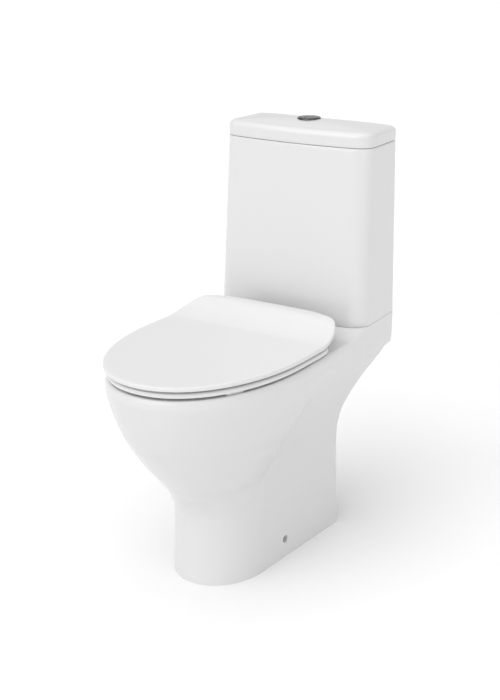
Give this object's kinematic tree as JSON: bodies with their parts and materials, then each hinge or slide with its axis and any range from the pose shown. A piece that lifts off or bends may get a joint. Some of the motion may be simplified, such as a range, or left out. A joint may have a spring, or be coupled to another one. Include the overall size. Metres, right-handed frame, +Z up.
{
  "type": "close coupled toilet",
  "caption": "Close coupled floor-standing toilet with egg-shaped bowl, open-back pedestal, soft-close seat and lid, ceramic cistern with dual push button and internal flush and filling valves.",
  "frame": {"origin": "on the floor, under the middle of the overall box", "axes": "+Z up, -Y towards the front of the bowl, +Y towards the wall, +X to the right of someone facing the wall"},
  "size_m": [0.3544, 0.65, 0.8339],
  "materials": {
    "ceramic": "gloss",
    "seat_plastic": "gloss",
    "chrome": "polished",
    "steel": "satin",
    "white_plastic": "matte",
    "grey_plastic": "matte",
    "rubber": "matte",
    "pale_rubber": "matte",
    "brass": "satin"
  },
  "bodies": {
    "toilet": {"cistern": "ceramic", "coupling_bolt_left": "steel", "coupling_bolt_right": "steel", "coupling_gasket": "rubber", "coupling_nut_left": "brass", "coupling_nut_right": "brass", "coupling_rubber_left": "rubber", "coupling_rubber_right": "rubber", "coupling_washer_left": "steel", "coupling_washer_right": "steel", "fill_backnut": "grey_plastic", "fill_valve": "white_plastic", "fill_washer": "rubber", "hinge_pin_left": "steel", "hinge_pin_right": "steel", "hinge_post_left": "chrome", "hinge_post_right": "chrome", "pan_bowl": "ceramic", "pan_cheek_left": "ceramic", "pan_cheek_right": "ceramic", "pan_foot": "ceramic", "pan_shelf": "ceramic", "pan_trap": "ceramic", "pan_well": "ceramic", "seat_bolt_left": "steel", "seat_bolt_right": "steel", "seat_bush_left": "pale_rubber", "seat_bush_right": "pale_rubber", "seat_nut_left": "white_plastic", "seat_nut_right": "white_plastic", "valve_backnut": "grey_plastic", "valve_base": "white_plastic", "valve_cage": "white_plastic", "valve_washer": "rubber"},
    "tank_cover": {"cistern_lid": "ceramic", "button_housing": "chrome", "housing_nut": "grey_plastic"},
    "full_flush_button": {"button_full": "chrome", "push_rod_full": "white_plastic"},
    "half_flush_button": {"button_half": "chrome", "push_rod_half": "white_plastic"},
    "flush_valve": {"overflow_tube": "white_plastic", "valve_seal": "rubber"},
    "float": {"float_cup": "grey_plastic"},
    "seat": {"seat_ring": "seat_plastic", "ring_buffer_back_left": "pale_rubber", "ring_buffer_back_right": "pale_rubber", "ring_buffer_front_left": "pale_rubber", "ring_buffer_front_right": "pale_rubber", "ring_damper_left": "grey_plastic", "ring_damper_right": "grey_plastic"},
    "seat_cover": {"seat_lid": "seat_plastic", "lid_buffer_left": "pale_rubber", "lid_buffer_right": "pale_rubber", "lid_damper_left": "grey_plastic", "lid_damper_right": "grey_plastic"}
  },
  "joints": [
    {"name": "cover_lift", "type": "slide", "parent": "toilet", "child": "tank_cover", "axis": [0, 0, 1], "range_m": [0, 0.12]},
    {"name": "full_press", "type": "slide", "parent": "tank_cover", "child": "full_flush_button", "axis": [0, 0, -1], "range_m": [0, 0.006], "stiffness_N_per_m": 150, "springref_m": -0.02},
    {"name": "half_press", "type": "slide", "parent": "tank_cover", "child": "half_flush_button", "axis": [0, 0, -1], "range_m": [0, 0.006], "stiffness_N_per_m": 150, "springref_m": -0.02},
    {"name": "flush_lift", "type": "slide", "parent": "toilet", "child": "flush_valve", "axis": [0, 0, 1], "range_m": [0, 0.018]},
    {"name": "float_rise", "type": "slide", "parent": "toilet", "child": "float", "axis": [0, 0, 1], "range_m": [0, 0.14]},
    {"name": "seat_hinge", "type": "hinge", "parent": "toilet", "child": "seat", "pos_m": [0, 0.108, 0.462], "axis": [-1, 0, 0], "range_deg": [0, 96]},
    {"name": "cover_hinge", "type": "hinge", "parent": "seat", "child": "seat_cover", "pos_m": [0, 0.108, 0.462], "axis": [1, 0, 0], "range_deg": [-100, 0]}
  ],
  "couplings": [
    {"joint": "flush_lift", "follows": "full_press", "ratio": 3}
  ]
}
